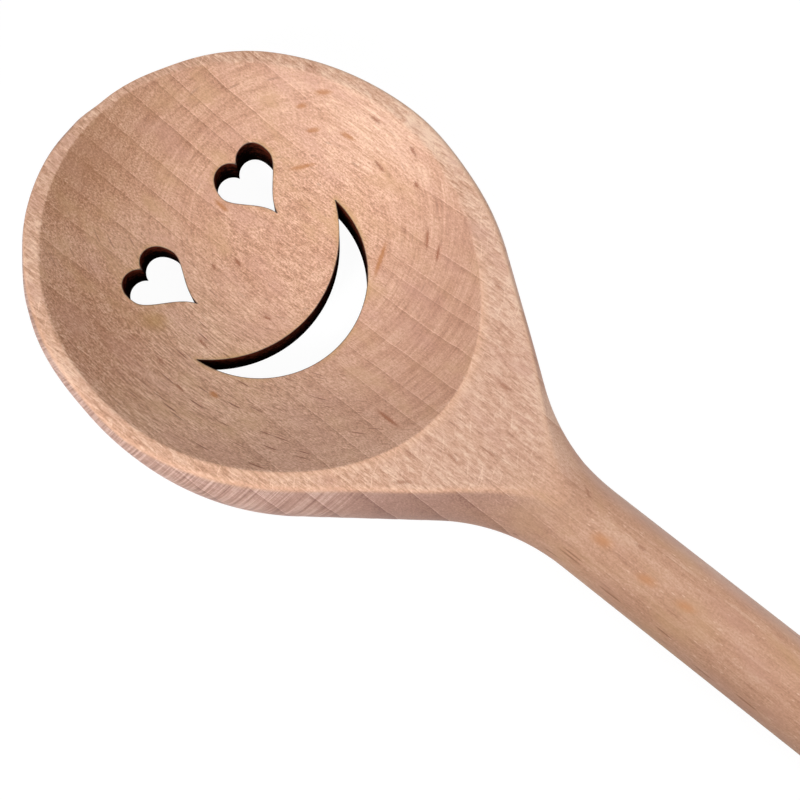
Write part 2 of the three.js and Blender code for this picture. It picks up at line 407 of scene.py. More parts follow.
def crease_rows():
    angles = np.linspace(-math.pi, math.pi, round(2 * math.pi * dish_along / TOP_STEP), endpoint=False)
    rows = []
    for offset in CREASE_ROWS:
        reach = dish_across * crease_reach(angles) + offset
        x = dish_x + reach * np.cos(angles) * dish_along / dish_across
        rows.append(np.stack([x, reach * np.sin(angles) - lean(x)], 1))
    return np.concatenate(rows)


def edge_rows():
    """Rows of points along the line where the plane cuts the blank."""
    border = outline_ring()
    foot, direction, _ = rays(*border[border[:, 0] < neck_x].T)
    far = edge_along(foot, direction)
    near = 0 * far
    for _ in range(HALVINGS):
        middle = (near + far) / 2
        x = foot + direction[:, 0] * middle
        above = blank_top(x, direction[:, 1] * middle) > plane_top(x)
        near = np.where(above, middle, near)
        far = np.where(above, far, middle)
    kept = near > EDGE_END
    start = np.stack([foot, 0 * foot], 1)
    return np.concatenate([(start + direction * (near + offset)[:, None])[kept] for offset in EDGE_ROWS])


def clear_of(points, fixed, distance):
    """Points that are no closer than distance to the fixed ones."""
    tree = KDTree(len(fixed))
    for index, point in enumerate(fixed):
        tree.insert((*point, 0), index)
    tree.balance()
    return np.array([point for point in points if tree.find((*point, 0))[2] > distance])


def inside_ring(points, ring):
    ahead = np.roll(ring, -1, axis=0)
    hit = np.zeros(len(points), bool)
    for (ax, ay), (bx, by) in zip(ring, ahead):
        if ay != by:
            crosses = (points[:, 1] < ay) != (points[:, 1] < by)
            hit ^= crosses & (points[:, 0] < ax + (points[:, 1] - ay) * (bx - ax) / (by - ay))
    return hit


def in_cuts(points, rings, flat):
    """Whether each point of a flat sheet lies inside a ring other than the first."""
    inside = np.zeros(len(points), bool)
    first = len(rings[0])
    for ring in rings[1:]:
        inside |= inside_ring(points, flat[first:first + len(ring)])
        first += len(ring)
    return inside


def sheet(rings, rows, height, step):
    """Plan points and triangles of one sheet: its rings come first, then its rows and loose points."""
    plan = np.concatenate(rings + rows)
    fixed = lay_flat(plan, height)
    loose = clear_of(loose_points(step), fixed, ROOM * step)
    loose = fold(loose[~in_cuts(loose, rings, fixed)], height, ROOM * step)
    plan = np.concatenate([plan, loose])
    flat = lay_flat(plan, height)
    edges = []
    first = 0
    for ring in rings:
        count = len(ring)
        edges += [(first + i, first + (i + 1) % count) for i in range(count)]
        first += count
    made = delaunay_2d_cdt([Vector(point) for point in flat], edges, [], 1, TINY)
    source = [origin[0] for origin in made[3]]
    faces = np.array([[source[corner] for corner in face] for face in made[2]])
    return plan, faces[~in_cuts(flat[faces].mean(axis=1), rings, flat)]


border = outline_ring()
rings = [border] + cuts
top_plan, top_faces = sheet(rings, [crease_rows(), edge_rows()], blank_top, TOP_STEP)
back_plan, back_faces = sheet(rings, [], blank_back, BACK_STEP)
top_points = np.column_stack([top_plan, finished_top(*top_plan.T)])
back_points = np.column_stack([back_plan, -blank_back(*back_plan.T)])

# The two sheets share the widest line, so the back's other points come after the top's.
shared = len(border)
skin_points = len(top_points) + len(back_points) - shared
back_index = np.concatenate([np.arange(shared), np.arange(len(top_points), skin_points)])
points = [top_points, back_points[shared:]]
depths = [0 * top_points[:, 0], 1 + 0 * back_points[shared:, 0]]  # share of the way down through a cut
faces = [list(face) for face in top_faces] + [list(back_index[face[::-1]]) for face in back_faces]
skin_faces = len(faces)
cut_edges = set()
total = skin_points
first = shared
for ring in cuts:
    count = len(ring)
    upper = np.arange(first, first + count)
    lower = back_index[upper]
    levels = [upper]
    for row in range(1, WALL_ROWS):
        share = row / WALL_ROWS
        points.append(top_points[upper] * (1 - share) + back_points[upper] * share)
        depths.append(np.full(count, share))
        levels.append(np.arange(total, total + count))
        total += count
    levels.append(lower)
    for above, below in zip(levels, levels[1:]):
        for i in range(count):
            j = (i + 1) % count
            faces.append([above[i], above[j], below[j], below[i]])
    for i in range(count):
        j = (i + 1) % count
        cut_edges.add(tuple(sorted((upper[i], upper[j]))))
        cut_edges.add(tuple(sorted((lower[i], lower[j]))))
    first += count
points = np.concatenate(points)
even_x, even_y, _ = points.T.copy()  # before sanding makes the sides unlike
points[:, 0] += nose_shift(even_x, even_y)
points[:, 1] += lean(even_x) + side_shift(even_x, even_y)

placed = (points + (low.x, 0, AXIS_HEIGHT)) * MM
mesh = bpy.data.meshes.new("beech_spoon")
mesh.from_pydata(placed.tolist(), [], [[int(corner) for corner in face] for face in faces])
mesh.shade_smooth()
sharp = mesh.attributes.new("sharp_edge", "BOOLEAN", "EDGE")
for edge in mesh.edges:
    sharp.data[edge.index].value = tuple(sorted(edge.vertices)) in cut_edges
for polygon in mesh.polygons[skin_faces:]:
    polygon.material_index = 1
spoon = bpy.data.objects.new("beech_spoon", mesh)
bpy.context.collection.objects.link(spoon)
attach(spoon, "root")
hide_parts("spoon")

# Marks of growth and work, kept as a value at each point of the skin: the number of the growth ring,
# how far the fibres dive into the surface, the tool that finished the place, edges worn pale, wood
# scorched beside the cuts, the streaks and tones that are this board's own, and painted light and shade.
RING_EDGES = (  # across the head
    -33, -28.8, -24.6, -20.3, -15.7, -11.4, -7.5, -3.5, -0.5,
    3.5, 8.6, 12.2, 14.3, 18.3, 24.5, 28.5, 33,
)
RING_SLANT = 0.15  # of the rings, which stand nearly upright in the board
DISH_EDGE = (-0.1, 0.15)  # distances inside the crease between which the dish starts
HEEL = (38, 56)  # distances from the nose between which the dish gets smoother
FACE_EDGE = (-0.2, 0.2)  # heights of the blank over the plane between which the planed face starts
DRY_ALONG = (42, 60)  # distances from the nose between which the planed face gets drier
DRY_ACROSS = (-18, -6)  # and across
WALL_EDGE = (0.05, 0.4)  # depths under the plane between which the wall starts
WALL_FADE = (68, 98)  # distances from the nose between which its grey fades out on the flare
LEFT_WALL_SHADE = 0.4  # strength of the grey on the left side, kept weak there as painted light
LEFT_SIDE = (-5, 5)  # distances across between which that side starts
FLANK_TURN = (0.5, 0.95)  # how far the surface faces sideways where the handle's flanks start and end
SAWN_DEPTH = 5  # below the widest level, where the saw marks have been sanded off the back
SAWN_END = 70  # distance from the nose at which they have been sanded off the flare
CREASE_EDGE = (-0.05, 0.1)  # distances outside the crease between which its paler band starts
CREASE_BAND = 1.6  # width of that band
CREASE_WEAR = 0.3
HEEL_WEAR = 0.8  # of the crease towards the handle
CREASE_FADE = (14, 24)  # distances across between which the crease's wear fades out
EDGE_WIDTH = 0.25  # of the worn edge of the planed face
EDGE_WEAR = 0.5
# on the left side, raised as painted light on the edge's rounding
LEFT_EDGE_LIGHT = 0.85
SCORCH_WIDTH = 0.5
# Paler areas, partly painted light, and duller ones, partly painted shade: middle, half-length, half-width,
# turn in degrees and strength
PALE_AND_LIT_AREAS = (
    (36, 27, 15, 5, 5, 1.2), (41, 30.5, 9, 3, -10, 2.2), (53, 26.5, 11, 2.5, -40, 0.8),
    (40, 2, 9, 6, 0, 0.5), (12, -24, 10, 2, -60, 0.4), (24.5, -29.2, 5, 1.8, -15, 1.1),
    (20.5, 23.5, 4, 3, 0, 1), (103, 2, 9, 2.2, 0, 0.7), (64, 20, 11, 2, -37, 1.2), (80, 8, 8, 2, -36, 1.7),
)
DULL_AND_SHADED_AREAS = ((3, -6, 9, 15, 0, 1), (21, -21, 13, 8, -30, 0.6))


def mark(name, values):
    layer = mesh.attributes.new(name, "FLOAT", "POINT")
    layer.data.foreach_set("value", np.asarray(values, np.float32))


def soft_areas(areas):
    """Soft ovals on the top of the spoon."""
    shade = 0 * x
    for middle_x, middle_y, half_length, half_width, degrees, strength in areas:
        angle = math.radians(degrees)
        along = (x - middle_x) * math.cos(angle) + (y - middle_y) * math.sin(angle)
        across = (y - middle_y) * math.cos(angle) - (x - middle_x) * math.sin(angle)
        oval = np.exp(-((along / half_length) ** 2) - (across / half_width) ** 2)
        shade = np.maximum(shade, oval * strength)
    return shade * on_top


def near_cuts():
    """1 at the edges of the cuts, fading out round them."""
    tree = KDTree(sum(map(len, cuts)))
    for index, point in enumerate(np.concatenate(cuts)):
        tree.insert((*point, 0), index)
    tree.balance()
    distance = np.array([tree.find((px, py, 0))[2] for px, py in zip(x, y)])
    return np.exp(-((distance / SCORCH_WIDTH) ** 2))


x, y, z = points.T
normals = np.empty(3 * len(points))
mesh.vertices.foreach_get("normal", normals)
facing_x, facing_y, _ = normals.reshape(-1, 3).T
on_top = np.arange(len(points)) < len(top_points)
on_head = 1 - ease(x, fillet_x, neck_x)
crease = from_crease(even_x, even_y + lean(even_x))
lift = blank_top(even_x, even_y) - plane_top(even_x)
mark("growth_ring", np.interp(y + RING_SLANT * z, RING_EDGES, range(len(RING_EDGES))))
mark("end_grain", np.abs(facing_x))

dish = on_top * ease(-crease, *DISH_EDGE)
mark("dish", dish)
mark("heel", ease(x, *HEEL) * dish)
# Painted shade darkens the duller areas of the dish, and painted light brightens the paler areas of the top.
mark("dull_and_shaded", soft_areas(DULL_AND_SHADED_AREAS) * dish)
mark("pale", soft_areas(PALE_AND_LIT_AREAS))
mark("scorch", near_cuts())
mark("cut_depth", np.concatenate(depths))

planed_face = on_top * ease(lift, *FACE_EDGE) * (1 - dish) * on_head
mark("planed", planed_face)
mark("dry", planed_face * ease(x, *DRY_ALONG) * ease(y, *DRY_ACROSS))

# Walls: the grey of sawn wood together with painted shade, kept weaker on the left side as painted light
wall = np.where(on_top, ease(-lift, *WALL_EDGE), ease(z, -SAWN_DEPTH, 0))
nose_turn = np.arctan2(NOSE_LENGTH - x, np.abs(y))
mark("wall", wall * (1 - ease(x, *WALL_FADE)) * (1 - (1 - LEFT_WALL_SHADE) * ease(y, *LEFT_SIDE)))
mark("sawn", wall * (1 - ease(x, taper_x, SAWN_END)) * on_head)
mark("round_wall", np.where(x < NOSE_LENGTH, -NOSE_LENGTH * nose_turn, x - NOSE_LENGTH))

mark("turned", 1 - on_head)
mark("flank", (1 - on_head) * ease(np.abs(facing_y), *FLANK_TURN))
# Painted light on the handle's left flank: a paler, greyer tint for light that wraps round it
mark("left_flank_light", (1 - on_head) * ease(facing_y, *FLANK_TURN))

crease_wear = CREASE_WEAR + (HEEL_WEAR - CREASE_WEAR) * ease(x, *HEEL)
crease_band = ease(crease, *CREASE_EDGE) * ease(-crease, -CREASE_BAND, 0)
worn_crease = crease_band * crease_wear * (1 - ease(y, *CREASE_FADE))
# The planed face's edge is worn pale and carries painted light, most on its left side
edge_wear_and_light = EDGE_WEAR + (LEFT_EDGE_LIGHT - EDGE_WEAR) * ease(y, 0, HALF_WIDTH / 2)
worn_and_lit_edge = np.exp(-((lift / EDGE_WIDTH) ** 2)) * edge_wear_and_light
mark("worn", on_top * on_head * np.maximum(worn_crease, worn_and_lit_edge))

# Bare beech: a pinkish tan wood, sanded but not oiled. Streaks, fibres and pores run along its grain, in
# the bare skin as in the charred walls of the cuts.
STREAK = (6, 0.6, 0.6)  # size of the grains in millimetres, along X, Y and Z
FIBRE = (1.8, 0.2, 0.2)
PORE = (0.32, 0.2, 0.2)
PATCH = (18, 7, 7)


def feed(tree, socket, value):
    """Links a socket to what feeds it, or sets a plain value on it."""
    if isinstance(value, bpy.types.NodeSocket):
        tree.links.new(value, socket)
    else:
        socket.default_value = value


def node(tree, kind, *values, **settings):
    """New node with its settings, and its first inputs fed in their order."""
    made = tree.nodes.new(kind)
    for name, value in settings.items():
        setattr(made, name, value)
    for socket, value in zip(made.inputs, values):
        feed(tree, socket, value)
    return made


def calc(tree, operation, *values):
    return node(tree, "ShaderNodeMath", *values, operation=operation).outputs[0]


def grains(tree, place, size):
    return node(tree, "ShaderNodeVectorMath", place, size, operation="DIVIDE").outputs[0]


def noise(tree, place, size, detail=2):
    """Noise about 0, with grains of that size."""
    made = node(tree, "ShaderNodeTexNoise", grains(tree, place, size))
    made.inputs["Scale"].default_value = 1
    made.inputs["Detail"].default_value = detail
    return calc(tree, "SUBTRACT", made.outputs[0], 0.5)


def in_millimetres(tree):
    """Place in the wood, from the spoon's own coordinates."""
    inside = node(tree, "ShaderNodeTexCoord").outputs["Object"]
    return grains(tree, inside, (MM, MM, MM))


fibres = bpy.data.node_groups.new("beech_fibres", "ShaderNodeTree")
place = in_millimetres(fibres)
layers = {
    "Streaks": noise(fibres, place, STREAK, detail=3),
    "Fibres": noise(fibres, place, FIBRE),
    "Pores": noise(fibres, place, PORE, detail=1),
    "Patches": noise(fibres, place, PATCH),
}
for name in layers:
    fibres.interface.new_socket(name, in_out="OUTPUT", socket_type="NodeSocketFloat")
results = node(fibres, "NodeGroupOutput")
for name, value in layers.items():
    feed(fibres, results.inputs[name], value)

beech = bpy.data.materials.new("beech")
beech.use_nodes = True
tree = beech.node_tree
wood = node(tree, "ShaderNodeGroup", node_tree=fibres).outputs
streaks, fine_fibres, pores, patches = (wood[name] for name in layers)
place = in_millimetres(tree)
along, across, up = node(tree, "ShaderNodeSeparateXYZ", place).outputs[:3]

# Growth rings of the bare beech: each darkens up to a thin pale line, where the next one starts. They are
# clearest where the surface cuts across the fibres.
WAVER = (16, 3, 3)
WAVER_REACH = 0.14  # in rings
RING_CLEAR = (0.05, 0.4)  # dives of the fibres between which the rings get clear
RING_FAINT = 0.35  # how clear they are along the fibres
RING_HEEL = (0, 1, 1, 0.7)  # heel of the dish from and to, and how dark the rings are at both
LATE_WOOD_POWER = 2.5  # power by which a ring darkens
LATE_EDGE = (0.88, 1)  # shares of a ring between which it is darkest
PALE_LINE = (0, 0.05)  # and between which the pale line fades


def times(tree, first, *others):
    for other in others:
        first = calc(tree, "MULTIPLY", first, other)
    return first


def total_of(tree, *terms):
    """Sum of values, each times its weight."""
    result = 0.0
    for value, weight in terms:
        result = calc(tree, "MULTIPLY_ADD", value, weight, result)
    return result


def remap(tree, value, start, end, low=0, high=1):
    """From low to high, as a value goes from start to end."""
    made = node(tree, "ShaderNodeMapRange", value, start, end, low, high, interpolation_type="SMOOTHSTEP")
    return made.outputs[0]


def painted(tree, name):
    return node(tree, "ShaderNodeAttribute", attribute_name=name).outputs["Fac"]


end_grain = painted(tree, "end_grain")
heel = painted(tree, "heel")
waver = noise(tree, place, WAVER)
ring = calc(tree, "FRACT", total_of(tree, (painted(tree, "growth_ring"), 1), (waver, WAVER_REACH)))
clear = remap(tree, end_grain, *RING_CLEAR, RING_FAINT, 1)
dark = times(tree, clear, remap(tree, heel, *RING_HEEL))
late_wood = times(tree, calc(tree, "POWER", ring, LATE_WOOD_POWER), dark)
ring_edge = times(tree, remap(tree, ring, *LATE_EDGE), dark)
ring_line = times(tree, remap(tree, ring, *PALE_LINE, 1, 0), clear)

# Cutter's marks in the bare beech of the dish: bands, lines and flecks round its axis. On the right side it
# cut against the grain and tore the fibres, in arcs round another axis.
CUTTER_AXIS = (33.5 + low.x, 8)
CUTTER_BAND = (1.3, 14, 14)  # size of its marks, across them and along them
CUTTER_LINE = (0.24, 5, 5)
CUTTER_CLEAR = (8, 18)  # distances from its axis between which its lines appear
CUTTER_FLECK = ((0.7, 4.5, 4.5), 0.3)  # size, and share of the places that have one
CUTTER_FLECK_STRENGTH = 0.4
TORN_AXIS = (35 + low.x, 36)
TORN_FROM = 2  # across the head, and where tearing is full
TORN_FULL = -14
TORN_FIBRE = (0.18, 1.1, 1.1)
TORN_GLINT = ((0.4, 3, 3), 0.35)
TORN_FLECK = ((0.45, 5, 5), 0.4)
DULL_FLECK = (0, 0.5, 1, 0.2)  # dull and shaded areas from and to, and the strength of torn flecks at both
CUT_FIBRE = (0, 0.5, 1, 0.3)  # dive of the fibres from and to, and how well they show at both
FLECK_EDGE = (0.12, 0.3)  # distances from the middle of a fleck between which it fades
FLECK_FADE = 0.2  # share of the places that have a fainter fleck


def round_axis(tree, axis):
    """Distance from an upright axis, and the way to it, in millimetres round a circle."""
    from_x = calc(tree, "SUBTRACT", along, axis[0])
    from_y = calc(tree, "SUBTRACT", across, axis[1])
    radius = calc(tree, "SQRT", total_of(tree, (from_x, from_x), (from_y, from_y)))
    circle = abs(axis[1] - TORN_FULL)
    turn_x = times(tree, calc(tree, "DIVIDE", from_x, radius), circle)
    turn_y = times(tree, calc(tree, "DIVIDE", from_y, radius), circle)
    return node(tree, "ShaderNodeCombineXYZ", radius, turn_x, turn_y).outputs[0]


def flecks(tree, place, size, share):
    """Scattered short dashes, in that share of the places where they could be."""
    cells = node(tree, "ShaderNodeTexVoronoi", grains(tree, place, size))
    cells.inputs["Scale"].default_value = 1
    chosen = node(tree, "ShaderNodeSeparateColor", cells.outputs["Color"]).outputs[0]
    kept = remap(tree, chosen, 1 - share, 1 + FLECK_FADE - share)
    return times(tree, remap(tree, cells.outputs["Distance"], *FLECK_EDGE, 1, 0), kept)


in_dish = painted(tree, "dish")
# Duller areas of the dish, partly painted shade
dull_and_shaded = painted(tree, "dull_and_shaded")
torn = times(tree, remap(tree, across, TORN_FROM, TORN_FULL), in_dish)
smooth = calc(tree, "SUBTRACT", in_dish, torn)
cutter_arcs = round_axis(tree, CUTTER_AXIS)
cutter_radius = node(tree, "ShaderNodeSeparateXYZ", cutter_arcs).outputs[0]
cutter_bands = times(tree, noise(tree, cutter_arcs, CUTTER_BAND, detail=1), in_dish)
swept = times(tree, smooth, remap(tree, cutter_radius, *CUTTER_CLEAR))
cutter_lines = times(tree, noise(tree, cutter_arcs, CUTTER_LINE), swept)
bottom = times(tree, smooth, remap(tree, cutter_radius, *CUTTER_CLEAR, 1, 0))
cutter_flecks = times(tree, flecks(tree, cutter_arcs, *CUTTER_FLECK), smooth)
torn_arcs = round_axis(tree, TORN_AXIS)
in_surface = remap(tree, end_grain, *CUT_FIBRE)
torn_fibres = times(tree, noise(tree, torn_arcs, TORN_FIBRE), torn, in_surface)
torn_glints = times(tree, flecks(tree, torn_arcs, *TORN_GLINT), torn)
torn_flecks = times(tree, flecks(tree, torn_arcs, *TORN_FLECK), torn, remap(tree, dull_and_shaded, *DULL_FLECK))
dark_flecks = total_of(tree, (cutter_flecks, CUTTER_FLECK_STRENGTH), (torn_flecks, 1))

# Marks of the plane and the saw in the bare beech: the plane left scratches, pits and a fine mottle on the
# face, and the saw left slanting strokes and nicks on the walls of the head.
SCRATCH_WIDTH = 0.4
SCRATCHES = ((-56, 6, 0.5), (-72, 5, 0.35), (4, 5, 0.5))  # turn in degrees, length, and share as above
PLANE_PIT = ((2.4, 0.5, 0.5), 0.28)
PLANE_MOTTLE = (1.1, 0.4, 0.4)
SAW_STROKE = (0.32, 1, 8)  # along the wall, through it and up it
SAW_NICK = ((0.9, 1, 7), 0.6)
SAW_SLANT = 0.35
RAGGED_SIZE = (0.8, 0.4, 0.4)
RAGGED = 0.45  # how far the edges of pits and dashes wander
HALF = (0.5, 0.5, 0.5)

wander = node(tree, "ShaderNodeTexNoise", grains(tree, place, RAGGED_SIZE)).outputs["Color"]
wander = node(tree, "ShaderNodeVectorMath", wander, HALF, operation="SUBTRACT").outputs[0]
wander = node(tree, "ShaderNodeVectorMath", wander, operation="SCALE")
wander.inputs["Scale"].default_value = 2 * RAGGED
ragged = node(tree, "ShaderNodeVectorMath", place, wander.outputs[0], operation="ADD").outputs[0]

planed = painted(tree, "planed")
scratches = 0.0
for degrees, length, share in SCRATCHES:
    angle = math.radians(degrees)
    lengthwise = total_of(tree, (along, math.cos(angle)), (across, math.sin(angle)))
    crosswise = total_of(tree, (across, math.cos(angle)), (along, -math.sin(angle)))
    laid = node(tree, "ShaderNodeCombineXYZ", crosswise, lengthwise, up).outputs[0]
    lines = flecks(tree, laid, (SCRATCH_WIDTH, length, length), share)
    scratches = calc(tree, "MAXIMUM", scratches, lines)
scratches = times(tree, scratches, planed)
pits = times(tree, flecks(tree, ragged, *PLANE_PIT), planed)
mottle = times(tree, noise(tree, place, PLANE_MOTTLE, detail=3), planed)

sawn = painted(tree, "sawn")
slanted = calc(tree, "MULTIPLY_ADD", up, -SAW_SLANT, painted(tree, "round_wall"))
stroked = node(tree, "ShaderNodeCombineXYZ", slanted, 0, up).outputs[0]
saw_strokes = times(tree, noise(tree, stroked, SAW_STROKE), sawn)
saw_nicks = times(tree, flecks(tree, stroked, *SAW_NICK), sawn)

# Turned beech of the handle: smoother than the head, with long streaks, soft blotches and small glints. Dark
# hairlines show along its flanks.
HANDLE_STREAK = (30, 1.2, 1.2)
HANDLE_BLOTCH = (5, 1.6, 1.6)
HANDLE_GLINT = ((1.3, 0.35, 0.35), 0.3)
HAIRLINE = ((8, 0.75, 0.75), 0.45)
FLANK_HAIRLINE = (0, 0.6, 0.3, 1.3)  # flank from and to, and the strength of the hairlines at both

turned = painted(tree, "turned")
handle_streaks = times(tree, noise(tree, place, HANDLE_STREAK, detail=3), turned)
handle_blotches = times(tree, noise(tree, place, HANDLE_BLOTCH), turned)
handle_glints = times(tree, flecks(tree, place, *HANDLE_GLINT), turned)
on_flank = remap(tree, painted(tree, "flank"), *FLANK_HAIRLINE)
hairlines = times(tree, flecks(tree, place, *HAIRLINE), turned, on_flank)

# Dashes in the bare beech: the cut ends of its rays, ochre specks and small stains, where this board has
# them. Each has its distance from the nose and across, half-length, half-width and turn in degrees.
OCHRE_DASHES = (
    (28, 16.6, 1.9, 0.3, 48), (46, 12.7, 2.6, 0.35, -70), (24.6, 25.8, 1.3, 0.3, 35),
    (23, 22.7, 0.8, 0.3, 40), (26.3, 21.3, 1, 0.3, 40), (31, 23.6, 1.2, 0.3, 8),
    (22, 4.6, 1.2, 0.3, 0), (40.5, -18.3, 0.7, 0.4, 0),
)
BROWN_DASHES = (
    (37.5, 23, 1.1, 0.22, -12), (33.2, 27.3, 0.9, 0.22, 0), (40.6, 26.9, 0.9, 0.2, -20),
    (43.8, 23.7, 0.6, 0.22, -20), (50, 18.5, 1.6, 0.22, -55), (52.6, 17.6, 1.2, 0.22, -60),
    (29.3, -0.4, 0.8, 0.25, -15), (27, -3.2, 0.6, 0.25, -25), (38.2, -4.2, 0.7, 0.22, 15),
    (62.2, -6, 2.2, 0.3, -5), (33.8, -13.3, 1, 0.2, -8), (31.5, -19.3, 1.1, 0.2, -10),
    (36.2, -20.6, 1, 0.2, -5),
)
FAINT_DASHES = (
    (72, 7.2, 1.7, 0.35, -5), (76.8, -1.3, 1.6, 0.3, 5), (72.8, -5.2, 1.4, 0.3, -8),
    (67.8, -8.4, 1.7, 0.3, -3), (62.8, 18.2, 1, 0.25, 0), (90, 2.8, 1.1, 0.25, -30),
    (100, 1.2, 1.1, 0.25, 0), (69.5, -12, 1.6, 0.3, 40),
)
AMBER_SPOTS = ((95.4, -1.3, 1.8, 0.95, 10), (103.2, -1.8, 1.7, 0.8, 10), (109.4, -1.4, 1.6, 0.7, 10))
OLIVE_STAINS = ((26.5, -15.2, 2.4, 1.8, 20),)
DASH_DEPTH = 3
DASH_CORE = 0.5  # share of a dash that is full
DASH_END = 1.4  # and where it has faded out


def dashes(tree, places, core):
    """1 up to the core of each dash, fading to 0 at its ragged end."""
    shade = 0.0
    for x, y, half_length, half_width, degrees in places:
        height = finished_top(np.array([x]), np.array([y]))[0]
        middle = (x + low.x, y, height + AXIS_HEIGHT)
        size = (half_length, half_width, DASH_DEPTH)
        turn = (0, 0, math.radians(degrees))
        dash = node(tree, "ShaderNodeMapping", ragged, middle, turn, size, vector_type="TEXTURE").outputs[0]
        reach = node(tree, "ShaderNodeVectorMath", dash, operation="LENGTH").outputs["Value"]
        shade = calc(tree, "MAXIMUM", shade, remap(tree, reach, core, DASH_END, 1, 0))
    return shade


ochre = dashes(tree, OCHRE_DASHES, DASH_CORE)
brown = dashes(tree, BROWN_DASHES, DASH_CORE)
faint = dashes(tree, FAINT_DASHES, 0)
amber = dashes(tree, AMBER_SPOTS, 0)
olive = dashes(tree, OLIVE_STAINS, 0)

# Colour and relief of the bare beech: the tone of each place picks a shade of the wood. Dry, worn, stained
# and scorched wood and painted light and shade are laid over it, and the marks that a finger feels are a
# bump.
SANDING = 0.5  # how much less the fibres show on the handle
MIDDLE_TONE = 0.5
ROUGHNESS = 0.6
HUE = (9, 4, 4)
# Ranges: from and to, and the share of the colour at both
STRAW_HUE = (0, 0.25, 0, 0.5)
STRAW_PLANED = (0, 1, 1, 0.2)
ROSE_HUE = (0, -0.25, 0, 0.4)
ASH_DULL = (0, 0.5, 0.22, 0)
TOASTED_PATCH = (-0.1, 0.2, 0, 0.6)
SOOT_EDGE = (0.8, 1, 0, 1)


def linear(*shades):
    """Colour for a shader, from red, green and blue as seen on a screen, 0 to 255."""
    return (*(((shade / 255 + 0.055) / 1.055) ** 2.4 for shade in shades), 1)


BEECH = (linear(166, 112, 82), linear(218, 167, 138), linear(255, 218, 191))  # dark, middle and pale
GREYED = (linear(130, 92, 82), linear(176, 137, 123), linear(216, 180, 168))  # on the heel, and on walls as the sawn wood's grey and as painted shade
CREAM = (linear(208, 156, 124), linear(238, 188, 156), linear(255, 216, 188))  # on worn edges, with painted light on the rounded edge of the face
STRAW = linear(216, 170, 128)
ROSE = linear(216, 163, 144)
TAN = linear(172, 124, 82)
ASH = linear(214, 186, 160)
DRY = linear(232, 192, 174)
# On the handle: its honey hue, and painted shade that darkens it
HONEY_AND_SHADE = linear(208, 150, 108)
# paler, greyer tint of painted light on the handle's left flank
MAUVE_LIGHT = linear(220, 188, 177)
OCHRE = linear(188, 118, 62)
AMBER = linear(214, 144, 90)
OLIVE = linear(186, 142, 80)
RUST = linear(157, 92, 60)
BROWN = linear(126, 66, 44)
TOASTED = linear(196, 156, 90)
SOOT = linear(60, 46, 40)


def tint(tree, share, base, over):
    made = node(tree, "ShaderNodeMix", data_type="RGBA")
    for index, value in ((0, share), (6, base), (7, over)):
        feed(tree, made.inputs[index], value)
    return made.outputs[2]


def shaded(tree, tone, colours):
    """Shade of the wood, from dark over middle to pale."""
    ramp = node(tree, "ShaderNodeValToRGB", tone)
    dark, middle, pale = colours
    ramp.color_ramp.elements[0].color = dark
    ramp.color_ramp.elements[1].color = pale
    ramp.color_ramp.elements.new(MIDDLE_TONE).color = middle
    return ramp.outputs[0]


# Grey of the walls: the sawn wood's own colour and painted shade
grey_shaded_wall = painted(tree, "wall")
# Paler areas of the top, partly painted light
pale = painted(tree, "pale")
scorch = painted(tree, "scorch")
sanded = calc(tree, "MULTIPLY_ADD", turned, -SANDING, in_surface)
coarse = total_of(
    tree, (in_dish, 0.1), (bottom, 0.45), (dull_and_shaded, 1.3), (heel, -0.25), (torn, 0.3), (sawn, -0.45),
    (turned, -0.05),
)
tone = total_of(
    tree, (streaks, 0.35), (times(tree, fine_fibres, sanded), 1.05), (times(tree, fine_fibres, torn), 0.8),
    (pores, 0.7), (times(tree, pores, coarse), 1), (patches, 0.25),
    (late_wood, -0.22), (ring_edge, -0.1), (ring_line, 0.22),
    (cutter_bands, 0.4), (cutter_lines, 0.5), (torn_fibres, 0.85), (torn_glints, 0.2),
    (mottle, 1.3), (pits, -0.12), (scratches, 0.25), (saw_strokes, 1.9), (saw_nicks, -0.3),
    (handle_streaks, 0.3), (handle_blotches, 0.5), (handle_glints, 0.4), (hairlines, -0.6),
    (sawn, 0.22), (grey_shaded_wall, -0.1), (pale, 0.2), (dull_and_shaded, -0.07), (heel, 0.01), (planed, 0.06),
)
tone = calc(tree, "ADD", tone, MIDDLE_TONE)

hue = noise(tree, place, HUE)
straw = times(tree, remap(tree, hue, *STRAW_HUE), remap(tree, planed, *STRAW_PLANED))
rose = remap(tree, hue, *ROSE_HUE)
ashen = times(tree, torn, remap(tree, dull_and_shaded, *ASH_DULL))
toasted = times(tree, scorch, remap(tree, patches, *TOASTED_PATCH))
sooty = remap(tree, scorch, *SOOT_EDGE)
greyed = shaded(tree, tone, GREYED)
colour = shaded(tree, tone, BEECH)
